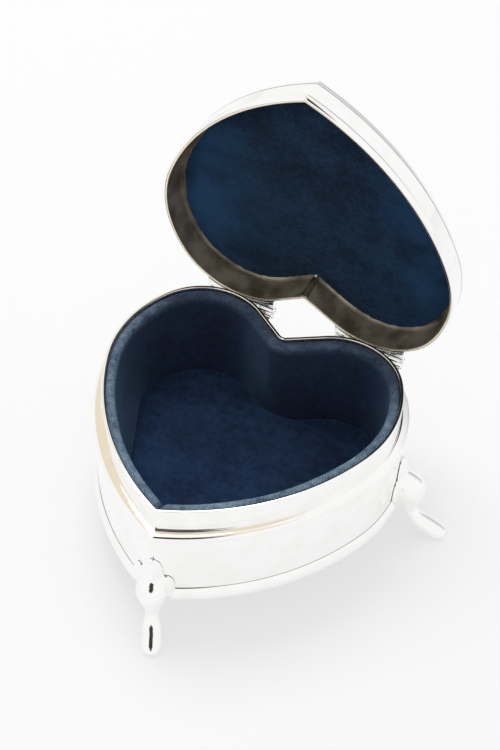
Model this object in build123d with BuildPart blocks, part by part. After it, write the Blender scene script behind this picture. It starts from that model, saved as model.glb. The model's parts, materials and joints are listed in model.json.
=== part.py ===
"""Heart-shaped ring box on three cast feet, lined with velvet, with a lid on two hinges.

Millimetres, +Z up. The tip of the heart points to -Y and the hinges are at the back, +Y. The origin is on
the surface that the feet stand on, in the middle plane, under the line through the centres of the lobes.
The lid is modelled shut and then turned open, which is its place at rest.
"""

import os
from math import acos, atan2, cos, degrees, hypot, radians, sin, sqrt

from build123d import *

os.makedirs("parts", exist_ok=True)

# Heart outline: inner face of the collar, right half, from the line through the lobe centres
lobe_centre = 17.6
lobe_radius = 15.55
lobe_end_angle = 30.0
shoulder_radius = 29.7
shoulder_end_angle = -20.0
tip_reach = 52.6
notch_reach = 7.0

# Heights above the surface that the box stands on, and the collar's height above the lid's seat
base_height = 11.3
seat_height = 33.6
collar_rise = 6.4

# Sheet metal, measured outwards from the heart outline
solder_gap = 0.05
collar_thickness = 0.8
collar_tail = 6.0
collar_edge_radius = 0.26
wall_outer = 2.35
wall_thickness = 0.7
base_thickness = 0.7

# Mouldings on the wall
base_moulding_height = 3.5
base_moulding_fullest = 1.4
base_moulding_bulge = 0.95
base_moulding_foot = 0.7
rim_height = 2.2
rim_outer = 3.0
rim_seat = 1.2
rim_edge = 2.1
rim_fall = 0.25

# Lining
lining_gap = 0.15
card_thickness = 0.7
velvet_thickness = 1.3
velvet_below_collar = 0.45
velvet_roll = 0.8
floor_card_thickness = 0.7
floor_pad_side = 0.95
floor_pad_shelf = 0.5
floor_pad_crown = 0.4
floor_pad_crown_run = 6.7
pad_tuck = 0.45

# Lid, shut
open_angle = 83.0
lid_seat_gap = 0.1
lid_clearance = 1.05
lid_thickness = 0.55
lid_bead_height = 2.0
lid_bead_bulge = 0.58
lid_top_thickness = 0.55
lid_shoulder = 2.2
lid_crown = 1.0
lid_crown_run = 12.0
lid_pad_clearance = 0.25
lid_pad_side = 0.35
lid_pad_gap = 0.3
lid_pad_crown = 1.3
lid_pad_crown_run = 9.0
lid_card_thickness = 0.35
lid_card_gap = 0.35

# Hinges
hinge_length = 18.5
hinge_standoff = 1.57
knuckle_count = 5
knuckle_radius = 1.2
knuckle_gap = 0.1
pin_radius = 0.6
pin_clearance = 0.05
pin_proud = 0.25
leaf_thickness = 2.0
leaf_seam = 0.08
groove_clearance = 0.15
stop_gap_angle = 2.0

# Feet: ears on the wall, then the leg's reach from the wall, height, width and depth from knee to toe
side_foot_angle = 12.5
front_foot_aside = 1.4
front_foot_setback = 2.8
front_foot_turn = 28.0
ear_thickness = 1.25
ear_peak_top = 25.0
ear_peak_foot = 17.0
ear_peak_width = 5.2
ear_height = 15.9
ear_spread = 3.1
ear_half_width = 2.1
ear_half_height = 3.1
knee_top_reach = 1.4
knee_top_height = 19.0
knee_top_width = 4.2
knee_top_depth = 3.6
knee_reach = 4.2
knee_height = 14.9
knee_width = 7.4
knee_depth = 7.2
calf_reach = 4.9
calf_height = 10.6
calf_width = 4.5
calf_depth = 4.0
ankle_reach = 5.2
ankle_height = 7.6
ankle_width = 3.1
ankle_depth = 2.2
instep_reach = 7.0
instep_height = 4.7
instep_width = 4.2
instep_depth = 2.8
toe_reach = 10.2
toe_height = 2.2
toe_width = 4.7
toe_depth = 3.8
toe_end_reach = 13.5
toe_end_height = 0.9
toe_end_width = 2.8
toe_end_depth = 1.8

# Steps of the curved skins
dome_steps = 4
crown_steps = 3


def direction(angle):
    """Unit vector at this angle from +X."""
    return Vector(cos(radians(angle)), sin(radians(angle)))


# The outline's three arcs touch, so they share a normal where they meet
lobe_point = Vector(lobe_centre, 0)
shoulder_point = lobe_point + direction(lobe_end_angle) * (lobe_radius - shoulder_radius)
side_normal = direction(shoulder_end_angle)
shoulder_to_tip = Vector(0, -tip_reach) - shoulder_point
side_radius = (shoulder_to_tip - side_normal * shoulder_radius).length ** 2 / (
    2 * (shoulder_radius - shoulder_to_tip.dot(side_normal))
)
side_point = shoulder_point + side_normal * (shoulder_radius - side_radius)
notch_angle = degrees(
    atan2(notch_reach, -lobe_centre) - acos(lobe_radius / hypot(lobe_centre, notch_reach))
)
notch_normal = direction(notch_angle)

# Places that several pieces share
collar_top = seat_height + collar_rise
base_top = base_height + base_thickness
wall_inner = wall_outer - wall_thickness
wall_top = seat_height - rim_height
base_moulding_outer = wall_outer + solder_gap + base_moulding_bulge
card_outer = -lining_gap
card_inner = card_outer - card_thickness
velvet_outer = card_inner - lining_gap
velvet_inner = velvet_outer - velvet_thickness
velvet_top = collar_top - velvet_below_collar
floor_outer = velvet_inner - lining_gap
lining_floor = base_top + solder_gap
floor_pad_bottom = lining_floor + floor_card_thickness + solder_gap
lid_inner = collar_thickness + lid_clearance
lid_outer = lid_inner + lid_thickness
lid_bead_outer = lid_outer + solder_gap + lid_bead_bulge
lid_rim = seat_height + lid_seat_gap
lid_pad_face = collar_top + lid_pad_clearance
lid_pad_back = lid_pad_face + lid_pad_side
lid_pad_outer = lid_inner - lid_pad_gap
lid_card_bottom = lid_pad_back + solder_gap
lid_card_top = lid_card_bottom + lid_card_thickness
lid_inner_shoulder = lid_shoulder - lid_top_thickness
lid_shoulder_foot = lid_card_top + lid_card_gap - lid_inner_shoulder
lid_band_top = lid_shoulder_foot - solder_gap
hinge_y = lobe_radius + lid_bead_outer + hinge_standoff
hinge_z = seat_height + lid_seat_gap / 2
hinge_axis = Axis((0, hinge_y, hinge_z), (1, 0, 0))
leaf_depth = hinge_y - sqrt(lobe_radius**2 - (hinge_length / 2) ** 2)
foot_face = wall_outer + solder_gap


def tip_y(offset):
    """Where the side arc at this offset meets the middle plane, at the tip."""
    return side_point.Y - sqrt((side_radius + offset) ** 2 - side_point.X**2)


def tip_angle(offset):
    """The same place, as an angle about the side arc's centre."""
    return degrees(atan2(tip_y(offset) - side_point.Y, -side_point.X))


def notch_y(offset):
    """Where the straight run at this offset meets the middle plane, at the notch."""
    return (notch_normal.dot(lobe_point) + lobe_radius + offset) / notch_normal.Y


def heart_face(offset, height):
    """Heart that lies this far outside the outline, at this height."""
    side_start = tip_angle(offset)
    side_turn = shoulder_end_angle - side_start
    shoulder_turn = lobe_end_angle - shoulder_end_angle
    lobe_turn = notch_angle - lobe_end_angle
    with BuildSketch(Plane.XY.offset(height)) as face:
        with BuildLine():
            CenterArc(side_point, side_radius + offset, side_start, side_turn)
            CenterArc(shoulder_point, shoulder_radius + offset, shoulder_end_angle, shoulder_turn)
            lobe = CenterArc(lobe_point, lobe_radius + offset, lobe_end_angle, lobe_turn)
            Line(lobe @ 1, (0, notch_y(offset)))
            mirror(about=Plane.YZ)
        make_face()
    return face.sketch


def heart_plate(offset, low, high, mode=Mode.ADD):
    """Fill the heart at this offset between two heights, in the current part."""
    extrude(heart_face(offset, low), amount=high - low, mode=mode)


def heart_loft(stations, mode=Mode.ADD):
    """Pass a skin through hearts given as (offset, height), in the current part."""
    loft([heart_face(offset, height) for offset, height in stations], ruled=True, mode=mode)


def pad_stations(outer, back, side, shelf, crown, crown_run):
    """Hearts of a pad as (offset, height): drawn-in sides, a flat shelf round the edge, then the crown.

    Side and crown are negative on a pad that faces down.
    """
    front = back + side
    edge = outer - pad_tuck
    stations = [(edge, back), (outer, back + side / 2), (edge, front), (edge - shelf, front)]
    for step in range(1, crown_steps + 1):
        share = step / crown_steps
        stations.append((edge - shelf - share * crown_run, front + crown * (1 - (1 - share) ** 2)))
    return stations


def dome_stations(outer, shoulder):
    """Hearts of the lid's top as (offset, height): a quarter-round shoulder, then a gentle crown."""
    stations = []
    for step in range(dome_steps + 1):
        turn = radians(90 * step / dome_steps)
        stations.append((outer - shoulder * (1 - cos(turn)), lid_shoulder_foot + shoulder * sin(turn)))
    for step in range(1, crown_steps + 1):
        share = step / crown_steps
        rise = lid_crown * (1 - (1 - share) ** 2)
        stations.append((outer - shoulder - share * lid_crown_run, lid_shoulder_foot + shoulder + rise))
    return stations


def carry_round(section):
    """Carry a section round the heart, in the current part.

    The section's x is the distance outside the outline and its y is the height. The arcs turn it, the
    straight run to the notch draws it out, and the middle plane mitres it at the tip and the notch, which
    both ends overrun first.
    """
    overrun = 2 * base_moulding_outer
    side_start = tip_angle(0) - degrees(overrun / side_radius)
    arcs = (
        (side_point, side_radius, side_start, shoulder_end_angle),
        (shoulder_point, shoulder_radius, shoulder_end_angle, lobe_end_angle),
        (lobe_point, lobe_radius, lobe_end_angle, notch_angle),
    )
    for centre, radius, start, end in arcs:
        out = direction(start)
        radial_plane = Plane(centre + out * radius, x_dir=out, z_dir=(out.Y, -out.X, 0))
        revolve(section(radial_plane), axis=Axis(centre, (0, 0, 1)), revolution_arc=end - start)
    run_start = lobe_point + notch_normal * lobe_radius
    run_plane = Plane(run_start, x_dir=notch_normal, z_dir=(notch_normal.Y, -notch_normal.X, 0))
    run_length = (run_start - Vector(0, notch_reach)).length + overrun
    extrude(section(run_plane), amount=-run_length)
    split(bisect_by=Plane.YZ, keep=Keep.TOP)
    mirror(about=Plane.YZ)


def band(inner, outer, low, high):
    """Section of an upright strip between two offsets and two heights."""

    def section(plane):
        with BuildSketch(plane) as strip:
            with Locations(((inner + outer) / 2, (low + high) / 2)):
                Rectangle(outer - inner, high - low)
        return strip.sketch

    return section


def base_moulding_section(plane):
    """Bulging wire, fuller towards its foot."""
    inner = wall_outer + solder_gap
    top = base_height + base_moulding_height
    fullest = base_height + base_moulding_fullest
    with BuildSketch(plane) as section:
        with BuildLine():
            Polyline((inner + base_moulding_foot, base_height), (inner, base_height), (inner, top))
            ThreePointArc(
                (inner, top), (base_moulding_outer, fullest), (inner + base_moulding_foot, base_height)
            )
        make_face()
    return section.sketch


def rim_section(plane):
    """Seat that is level by the collar, falls slightly outwards and turns over into a bead."""
    inner = collar_thickness + solder_gap
    edge = (rim_edge, seat_height - rim_fall)
    fullest = (rim_outer, seat_height - rim_height / 2)
    foot = (wall_outer, wall_top)
    with BuildSketch(plane) as section:
        with BuildLine():
            Polyline(foot, (inner, wall_top), (inner, seat_height), (rim_seat, seat_height), edge)
            ThreePointArc(edge, fullest, foot)
        make_face()
    return section.sketch


def velvet_section(plane):
    """Pile on the inner face of the card, rolled over the card's top edge."""
    card_top = velvet_top - velvet_roll
    roll_middle = (card_outer + velvet_inner) / 2
    with BuildSketch(plane) as section:
        with BuildLine():
            Polyline(
                (velvet_inner, card_top - velvet_roll),
                (velvet_inner, lining_floor),
                (velvet_outer, lining_floor),
                (velvet_outer, card_top + lining_gap),
                (card_outer, card_top + lining_gap),
            )
            ThreePointArc(
                (card_outer, card_top + lining_gap),
                (roll_middle, velvet_top),
                (velvet_inner, card_top - velvet_roll),
            )
        make_face()
    return section.sketch


def lid_bead_section(plane):
    """Half-round bead on the outside of the lid's lower edge."""
    inner = lid_outer + solder_gap
    with BuildSketch(plane) as section:
        with BuildLine():
            Line((inner, lid_rim + lid_bead_height), (inner, lid_rim))
            ThreePointArc(
                (inner, lid_rim),
                (lid_bead_outer, lid_rim + lid_bead_height / 2),
                (inner, lid_rim + lid_bead_height),
            )
        make_face()
    return section.sketch


# Box: wall, bottom, mouldings and collar
with BuildPart() as base_plate:
    heart_plate(wall_outer, base_height, base_top)

with BuildPart() as body_wall:
    carry_round(band(wall_inner, wall_outer, base_top + solder_gap, wall_top - solder_gap))

with BuildPart() as base_moulding:
    carry_round(base_moulding_section)

with BuildPart() as rim_moulding:
    carry_round(rim_section)

with BuildPart() as collar:
    carry_round(band(0, collar_thickness, wall_top - collar_tail, collar_top))
    fillet(collar.faces().sort_by(Axis.Z)[-1].edges().filter_by(GeomType.CIRCLE), collar_edge_radius)

# Lining: card and velvet round the wall, card and pad on the floor
with BuildPart() as lining_board:
    carry_round(band(card_inner, card_outer, lining_floor, velvet_top - velvet_roll))

with BuildPart() as lining_velvet:
    carry_round(velvet_section)

with BuildPart() as floor_board:
    heart_plate(floor_outer, lining_floor, lining_floor + floor_card_thickness)

with BuildPart() as floor_pad:
    heart_loft(
        pad_stations(
            floor_outer,
            floor_pad_bottom,
            floor_pad_side,
            floor_pad_shelf,
            floor_pad_crown,
            floor_pad_crown_run,
        )
    )

# Lid, shut: band, bead, domed top, card and pad
with BuildPart() as lid_band:
    carry_round(band(lid_inner, lid_outer, lid_rim, lid_band_top))

with BuildPart() as lid_bead:
    carry_round(lid_bead_section)

with BuildPart() as lid_top:
    heart_loft(dome_stations(lid_outer, lid_shoulder))
    heart_loft(dome_stations(lid_inner, lid_inner_shoulder), mode=Mode.SUBTRACT)

with BuildPart() as lid_pad_board:
    heart_plate(lid_pad_outer - pad_tuck - lid_pad_gap, lid_card_bottom, lid_card_top)

with BuildPart() as lid_pad:
    shelf = lid_pad_outer - pad_tuck - floor_outer
    heart_loft(
        pad_stations(
            lid_pad_outer,
            lid_pad_back,
            -lid_pad_side,
            shelf,
            -lid_pad_crown,
            lid_pad_crown_run,
        )
    )


def hinge_leaf(start, below):
    """Bearer of one hinge: a block along the seam that wraps part of the knuckles, under or over the seam.

    Behind the pin both bearers end on a radius, and those ends meet when the lid is fully open.
    """
    wrap = (180 - open_angle - stop_gap_angle) / 2
    side = -1 if below else 1
    seam = hinge_z + side * leaf_seam
    edge = hinge_z + side * leaf_thickness
    seat_outer = (rim_outer if below else lid_bead_outer) + solder_gap
    with BuildPart() as leaf:
        with BuildSketch(Plane.YZ.offset(start)):
            with Locations((hinge_y - leaf_depth / 2, (seam + edge) / 2)):
                Rectangle(leaf_depth, abs(edge - seam))
            with BuildLine():
                pin_point = (hinge_y, hinge_z)
                back = CenterArc(pin_point, leaf_thickness, side * 90, -side * wrap)
                Line(pin_point, back @ 0)
                Line(back @ 1, pin_point)
            make_face()
            with Locations((hinge_y, hinge_z)):
                Circle(knuckle_radius + groove_clearance, mode=Mode.SUBTRACT)
        extrude(amount=hinge_length)
        heart_plate(seat_outer, hinge_z - leaf_thickness, hinge_z + leaf_thickness, mode=Mode.SUBTRACT)
    return leaf


def hinge_knuckles(start, first):
    """Every second length of tube along one hinge, beginning with this one."""
    pitch = hinge_length / knuckle_count
    with BuildPart() as knuckles:
        for place in range(first, knuckle_count, 2):
            with BuildSketch(Plane.YZ.offset(start + place * pitch + knuckle_gap / 2)):
                with Locations((hinge_y, hinge_z)):
                    Circle(knuckle_radius)
                    Circle(pin_radius + pin_clearance, mode=Mode.SUBTRACT)
            extrude(amount=pitch - knuckle_gap)
    return knuckles


def hinge_pin(start):
    """Wire through all the tube lengths, a little proud at both ends."""
    with BuildPart() as pin:
        with BuildSketch(Plane.YZ.offset(start - pin_proud)):
            with Locations((hinge_y, hinge_z)):
                Circle(pin_radius)
        extrude(amount=hinge_length + 2 * pin_proud)
    return pin


# Room that the feet leave for the wall and its moulding
with BuildPart() as foot_notch:
    heart_plate(foot_face, 0, collar_top)
    heart_plate(
        base_moulding_outer + solder_gap,
        base_height - solder_gap,
        base_height + base_moulding_height + solder_gap,
    )

# Skin of metal against the wall, from which the ears of the feet are cut
with BuildPart() as ear_skin:
    carry_round(band(foot_face, foot_face + ear_thickness, base_height, seat_height))


def cast_foot(seat, out):
    """Foot at this seat on the wall, reaching along this direction: ears, knee, ankle and toe."""
    side = Vector(-out.Y, out.X)
    up = Vector(0, 0, 1)
    with BuildPart() as ears:
        with BuildSketch(Plane(seat, x_dir=side, z_dir=out)):
            with Locations((0, (ear_peak_top + ear_peak_foot) / 2)):
                Ellipse(ear_peak_width / 2, (ear_peak_top - ear_peak_foot) / 2)
            with Locations((-ear_spread, ear_height), (ear_spread, ear_height)):
                Ellipse(ear_half_width, ear_half_height)
            with Locations((0, ear_height)):
                Rectangle(2 * ear_spread, 2 * ear_half_width)
        extrude(amount=2 * knee_depth, both=True)
        add(ear_skin.part, mode=Mode.INTERSECT)
    stations = (
        (knee_top_reach, knee_top_height, knee_top_width, knee_top_depth),
        (knee_reach, knee_height, knee_width, knee_depth),
        (calf_reach, calf_height, calf_width, calf_depth),
        (ankle_reach, ankle_height, ankle_width, ankle_depth),
        (instep_reach, instep_height, instep_width, instep_depth),
        (toe_reach, toe_height, toe_width, toe_depth),
        (toe_end_reach, toe_end_height, toe_end_width, toe_end_depth),
    )
    centres = [seat + out * reach + up * height for reach, height, _, _ in stations]
    with BuildPart() as foot:
        for index, (_, _, width, depth) in enumerate(stations):
            before = centres[max(index - 1, 0)]
            after = centres[min(index + 1, len(centres) - 1)]
            with BuildSketch(Plane(centres[index], x_dir=side, z_dir=after - before)):
                Ellipse(width / 2, depth / 2)
        loft()
        split(bisect_by=Plane.XY, keep=Keep.TOP)
        add(ears.part)
        add(foot_notch.part, mode=Mode.SUBTRACT)
    return foot


right_foot_out = direction(side_foot_angle)
right_foot_seat = shoulder_point + right_foot_out * (shoulder_radius + wall_outer)
right_foot = cast_foot(right_foot_seat, right_foot_out)
left_foot = cast_foot(
    Vector(-right_foot_seat.X, right_foot_seat.Y), Vector(-right_foot_out.X, right_foot_out.Y)
)
front_foot = cast_foot(
    Vector(-front_foot_aside, tip_y(wall_outer) + front_foot_setback), direction(front_foot_turn - 90)
)

hinge_starts = {
    "left": -lobe_centre - hinge_length / 2,
    "right": lobe_centre - hinge_length / 2,
}

box_pieces = {
    "base_plate": base_plate,
    "body_wall": body_wall,
    "base_moulding": base_moulding,
    "rim_moulding": rim_moulding,
    "collar": collar,
    "lining_board": lining_board,
    "lining_velvet": lining_velvet,
    "floor_board": floor_board,
    "floor_pad": floor_pad,
    "front_foot": front_foot,
    "left_foot": left_foot,
    "right_foot": right_foot,
}
lid_pieces = {
    "lid_band": lid_band,
    "lid_bead": lid_bead,
    "lid_top": lid_top,
    "lid_pad_board": lid_pad_board,
    "lid_pad": lid_pad,
}
for hand, start in hinge_starts.items():
    box_pieces[hand + "_box_leaf"] = hinge_leaf(start, below=True)
    box_pieces[hand + "_box_knuckles"] = hinge_knuckles(start, first=0)
    box_pieces[hand + "_hinge_pin"] = hinge_pin(start)
    lid_pieces[hand + "_lid_leaf"] = hinge_leaf(start, below=False)
    lid_pieces[hand + "_lid_knuckles"] = hinge_knuckles(start, first=1)

for name, piece in box_pieces.items():
    piece.part.label = name
    export_step(piece.part, f"parts/{name}.step")

for name, piece in lid_pieces.items():
    opened = piece.part.rotate(hinge_axis, -open_angle)
    opened.label = name
    export_step(opened, f"parts/{name}.step")
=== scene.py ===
"""Heart-shaped silver ring box with a velvet lining, its lid open, on a pale studio floor."""

import json
from contextlib import contextmanager
from math import acos, atan2, cos, hypot, pi, radians, sin, sqrt

import bmesh
import bpy
import numpy as np
from mathutils import Matrix, Vector
from mathutils.geometry import delaunay_2d_cdt
from mathutils.noise import noise as lump


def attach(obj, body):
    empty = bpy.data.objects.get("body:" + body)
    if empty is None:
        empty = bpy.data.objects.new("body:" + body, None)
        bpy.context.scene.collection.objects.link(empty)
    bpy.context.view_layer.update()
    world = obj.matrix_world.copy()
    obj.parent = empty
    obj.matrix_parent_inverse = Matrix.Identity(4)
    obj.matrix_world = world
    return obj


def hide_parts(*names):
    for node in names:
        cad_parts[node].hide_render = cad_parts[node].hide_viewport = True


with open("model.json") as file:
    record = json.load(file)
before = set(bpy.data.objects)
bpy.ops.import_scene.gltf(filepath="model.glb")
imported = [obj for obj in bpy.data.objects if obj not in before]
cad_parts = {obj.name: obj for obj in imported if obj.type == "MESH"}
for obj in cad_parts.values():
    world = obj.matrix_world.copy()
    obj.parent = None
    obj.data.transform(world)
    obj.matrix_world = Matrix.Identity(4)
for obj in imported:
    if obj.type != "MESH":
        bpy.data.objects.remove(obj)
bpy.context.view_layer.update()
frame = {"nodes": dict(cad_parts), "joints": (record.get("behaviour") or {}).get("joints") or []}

mm = 0.001

# Heart outline: inner face of the collar, right half
lobe_centre = 17.6 * mm
lobe_radius = 15.55 * mm
lobe_end = radians(30)
shoulder_radius = 29.7 * mm
shoulder_end = radians(-20)
tip_reach = 52.6 * mm
notch_reach = 7.0 * mm

# Points along each part of the outline, and how its corners are rounded
tip_steps = 7
side_steps = 100
shoulder_steps = 52
lobe_steps = 50
run_steps = 20
notch_steps = 10
moulding_steps = 15
dome_spacing = 1.3 * mm
pad_spacing = 0.9 * mm
wall_tip_start = 0.6 * mm
wall_notch_round = 3.6 * mm
collar_notch_round = 2.2 * mm
lining_notch_round = 2.9 * mm
floor_notch_round = 11.0 * mm

# Heights above the floor
base_height = 11.3 * mm
seat_height = 33.6 * mm
collar_top = 40.0 * mm

# Silver sheet and wire, measured outwards from the outline
seam = 0.05 * mm
collar_thickness = 0.8 * mm
collar_tail = 6.0 * mm
wall_outer = 2.35 * mm
wall_thickness = 0.7 * mm
base_thickness = 0.7 * mm
base_moulding_height = 3.5 * mm
base_moulding_fullest = 1.4 * mm
base_moulding_bulge = 0.95 * mm
base_moulding_foot = 0.7 * mm
rim_height = 2.2 * mm
rim_outer = 3.0 * mm
rim_seat = 1.2 * mm
rim_edge = 2.1 * mm
rim_fall = 0.25 * mm
wall_edge = 0.05 * mm
collar_edge = 0.24 * mm
lid_band_edge = 0.12 * mm
base_moulding_edge = 0.08 * mm
rim_moulding_edge = 0.12 * mm
sheet_softening = 0.06 * mm
sharp_angle = radians(38)

# Lining
card_outer = -0.15 * mm
card_inner = -0.85 * mm
velvet_outer = -1.0 * mm
velvet_inner = -2.3 * mm
velvet_top = collar_top - 0.45 * mm
velvet_roll = 0.8 * mm
lining_floor = base_height + base_thickness + seam
floor_pad_outer = -2.45 * mm
floor_pad_bottom = lining_floor + 0.75 * mm
floor_pad_side = 0.95 * mm
floor_pad_crown = 0.4 * mm
floor_pad_crown_run = 7.0 * mm
floor_pad_overlap = 0.65 * mm

# Velvet: its puff at the foot of the left side, its fold at the tip, its ribs and the painted sheen on its
# rolled edge, which both fade at the back, and its lumps
lining_puff = 3.8 * mm
puff_back, puff_full_back = 0 * mm, -17 * mm
puff_full_front, puff_front = -20 * mm, -46 * mm
puff_middle, puff_side = 8 * mm, 24 * mm
puff_way = (0.95, 0.3)
fold_reach = 2.0 * mm
fold_drop = 0.7 * mm
rib_pitch = 0.75 * mm
rib_slant = 0.6
roll_fade = 0.7
roll_fade_start, roll_fade_end = -4 * mm, 9 * mm
lining_lumps = 0.1 * mm
pad_lumps = 0.12 * mm
pad_tuck = 0.45 * mm

# Lid, shut
lid_inner = 1.85 * mm
lid_outer = 2.4 * mm
lid_bead_outer = 3.03 * mm
lid_rim = seat_height + 0.1 * mm
lid_bead_height = 2.0 * mm
lid_band_top = 39.65 * mm
lid_shoulder_foot = 39.7 * mm
lid_shoulder = 2.2 * mm
lid_inner_shoulder = 1.65 * mm
lid_crown = 1.0 * mm
lid_crown_run = 12.0 * mm
lid_pad_outer = 1.66 * mm
lid_pad_back = 40.6 * mm
lid_pad_side = 0.35 * mm
lid_pad_crown = 1.3 * mm
lid_pad_crown_run = 15.0 * mm
lid_pad_held = 4.5 * mm

# Soft pieces and castings are worked at this scale, with these mesh sizes and these caps on their swelling
work_scale = 20.0
pad_voxel = 0.6 * mm
foot_voxel = 0.16 * mm
floor_pad_cap = 0.2 * mm
lid_pad_cap = 0.15 * mm

# Hinges
hinge_length = 18.5 * mm
knuckle_count = 5
knuckle_radius = 1.2 * mm
knuckle_gap = 0.1 * mm
pin_bore = 0.65 * mm
knuckle_edge = 0.12 * mm
leaf_edge = 0.1 * mm
pin_edge = 0.15 * mm

# Feet: leg as reach from the wall, height, width and depth from knee to toe
leg_stations = np.array((
    (1.4, 19.0, 4.2, 3.6),
    (4.2, 14.9, 7.4, 7.2),
    (4.9, 10.6, 4.5, 4.0),
    (5.2, 7.6, 3.1, 2.3),
    (7.0, 4.7, 4.2, 2.8),
    (9.9, 2.4, 4.7, 3.4),
    (11.9, 1.3, 4.3, 3.0),
    (13.1, 0.9, 2.8, 2.2),
    (13.5, 0.8, 1.0, 1.0),
)) * mm
knee_radius = 3.75 * mm
front_leg_stretch = 0.87
side_leg_stretch = 1.12
side_foot_setback = 1.1 * mm

# Leaf over the knee, as reach, height, width and depth from its top to its point, and its two ears
leaf_stations = np.array((
    (0.10, 25.0, 1.2, 1.6),
    (0.10, 24.0, 3.6, 2.4),
    (0.10, 22.2, 5.2, 3.2),
    (0.10, 20.2, 5.7, 3.6),
    (0.15, 18.6, 5.2, 3.6),
    (0.20, 17.2, 3.8, 3.0),
)) * mm
leaf_thickness = 1.25 * mm
leaf_ear_height = 15.6 * mm
leaf_ear_spread = 3.1 * mm
leaf_ear_half_width = 2.1 * mm
leaf_ear_half_height = 3.8 * mm
side_foot_angle = radians(12.5)
front_foot_aside = -1.4 * mm
front_foot_setback = 2.8 * mm
front_foot_turn = radians(28)

hinge = frame["joints"][0]
hinge_place = Vector(hinge["pos_m"])
open_angle = radians(hinge["range_deg"][1])
lid_opening = (
    Matrix.Translation(hinge_place) @ Matrix.Rotation(-open_angle, 4, "X") @ Matrix.Translation(-hinge_place)
)


def compass(angle):
    """Unit vector at this angle from +X."""
    return np.array((cos(angle), sin(angle)))


# The outline's arcs touch, so they share a normal where they meet
lobe_point = np.array((lobe_centre, 0))
shoulder_point = lobe_point + compass(lobe_end) * (lobe_radius - shoulder_radius)
side_normal = compass(shoulder_end)
to_tip = np.array((0, -tip_reach)) - shoulder_point
side_radius = np.sum((to_tip - side_normal * shoulder_radius) ** 2) / (
    2 * (shoulder_radius - to_tip @ side_normal)
)
side_point = shoulder_point + side_normal * (shoulder_radius - side_radius)
notch_angle = atan2(notch_reach, -lobe_centre) - acos(lobe_radius / hypot(lobe_centre, notch_reach))
notch_normal = compass(notch_angle)


def tip_y(offset):
    """Where the side arc at this offset meets the middle plane."""
    return side_point[1] - sqrt((side_radius + offset) ** 2 - side_point[0] ** 2)


def notch_y(offset):
    """Where the straight run at this offset meets the middle plane."""
    return (notch_normal @ lobe_point + lobe_radius + offset) / notch_normal[1]


def heart_outline(notch_round=None, tip_start=None, exact=0.0):
    """Points round the heart, counter-clockwise from the tip, and how each moves as the offset grows.

    The notch is rounded for offsets under notch_round and the tip for offsets over tip_start. A sharp corner
    is mitred, exactly so at one offset.
    """
    feet, ways = [], []

    def turn_about(centre, radius, angles):
        for angle in angles:
            feet.append(centre + compass(angle) * radius)
            ways.append(compass(angle))

    tip = np.array((0, tip_y(exact if tip_start is None else tip_start)))
    first = atan2(tip[1] - side_point[1], tip[0] - side_point[0])
    side_angles = np.linspace(first, shoulder_end, side_steps, endpoint=False)
    if tip_start is None:
        mitre = np.array((0, 1 / sin(first)))
        feet.append(tip - mitre * exact)
        ways.append(mitre)
        side_angles = side_angles[1:]
    else:
        turn_about(tip, -tip_start, np.linspace(-pi / 2, first, tip_steps, endpoint=False))
    turn_about(side_point, side_radius, side_angles)
    shoulder_angles = np.linspace(shoulder_end, lobe_end, shoulder_steps, endpoint=False)
    turn_about(shoulder_point, shoulder_radius, shoulder_angles)
    lobe_angles = np.linspace(lobe_end, notch_angle, lobe_steps, endpoint=False)
    turn_about(lobe_point, lobe_radius, lobe_angles)
    run_start = lobe_point + notch_normal * lobe_radius
    if notch_round is None:
        run_end = np.array((0, notch_y(0)))
    else:
        notch_point = np.array((0, notch_y(notch_round)))
        run_end = notch_point - notch_normal * notch_round
    for share in np.linspace(0, 1, run_steps, endpoint=False):
        feet.append(run_start + (run_end - run_start) * share)
        ways.append(notch_normal)
    if notch_round is None:
        feet.append(run_end)
        ways.append(np.array((0, 1 / notch_normal[1])))
    else:
        turn_about(notch_point, -notch_round, np.linspace(notch_angle, pi / 2, notch_steps))
    feet, ways = np.array(feet), np.array(ways)
    feet[-1, 0] = ways[-1, 0] = 0
    mirrored = slice(-2, 0, -1)
    return (
        np.concatenate((feet, feet[mirrored] * (-1, 1))),
        np.concatenate((ways, ways[mirrored] * (-1, 1))),
    )


def heart_points(offset, notch_round=None, tip_start=None):
    """Points round the heart at this offset."""
    feet, ways = heart_outline(notch_round, tip_start, offset)
    return feet + ways * offset


def arc_through(start, middle, end, steps):
    """Points on the circle through three points of a section, ends included."""
    (ax, ay), (bx, by), (cx, cy) = start, middle, end
    d = 2 * (ax * (by - cy) + bx * (cy - ay) + cx * (ay - by))
    sa, sb, sc = ax * ax + ay * ay, bx * bx + by * by, cx * cx + cy * cy
    centre = np.array((
        (sa * (by - cy) + sb * (cy - ay) + sc * (ay - by)) / d,
        (sa * (cx - bx) + sb * (ax - cx) + sc * (bx - ax)) / d,
    ))
    radius = hypot(*(np.array(start) - centre))
    turns = np.unwrap([atan2(p[1] - centre[1], p[0] - centre[0]) for p in (start, middle, end)])
    return [tuple(centre + radius * compass(t)) for t in np.linspace(turns[0], turns[2], steps + 1)]


def linked(name, mesh):
    """Object of this mesh in the scene."""
    piece = bpy.data.objects.new(name, mesh)
    bpy.context.scene.collection.objects.link(piece)
    return piece


def plain_mesh(name, points, faces):
    """Mesh of these points and faces."""
    mesh = bpy.data.meshes.new(name)
    mesh.from_pydata([tuple(p) for p in points], [], [tuple(f) for f in faces])
    return mesh


@contextmanager
def reworked(mesh):
    """Shape of a mesh to work on, put back into the mesh afterwards."""
    shape = bmesh.new()
    shape.from_mesh(mesh)
    yield shape
    shape.to_mesh(mesh)
    shape.free()


def face_outwards(mesh):
    """Closed mesh with its doubles merged and its faces pointing outwards."""
    with reworked(mesh) as shape:
        bmesh.ops.remove_doubles(shape, verts=shape.verts, dist=0.0005 * mm)
        bmesh.ops.recalc_face_normals(shape, faces=shape.faces)
    return mesh


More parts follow.
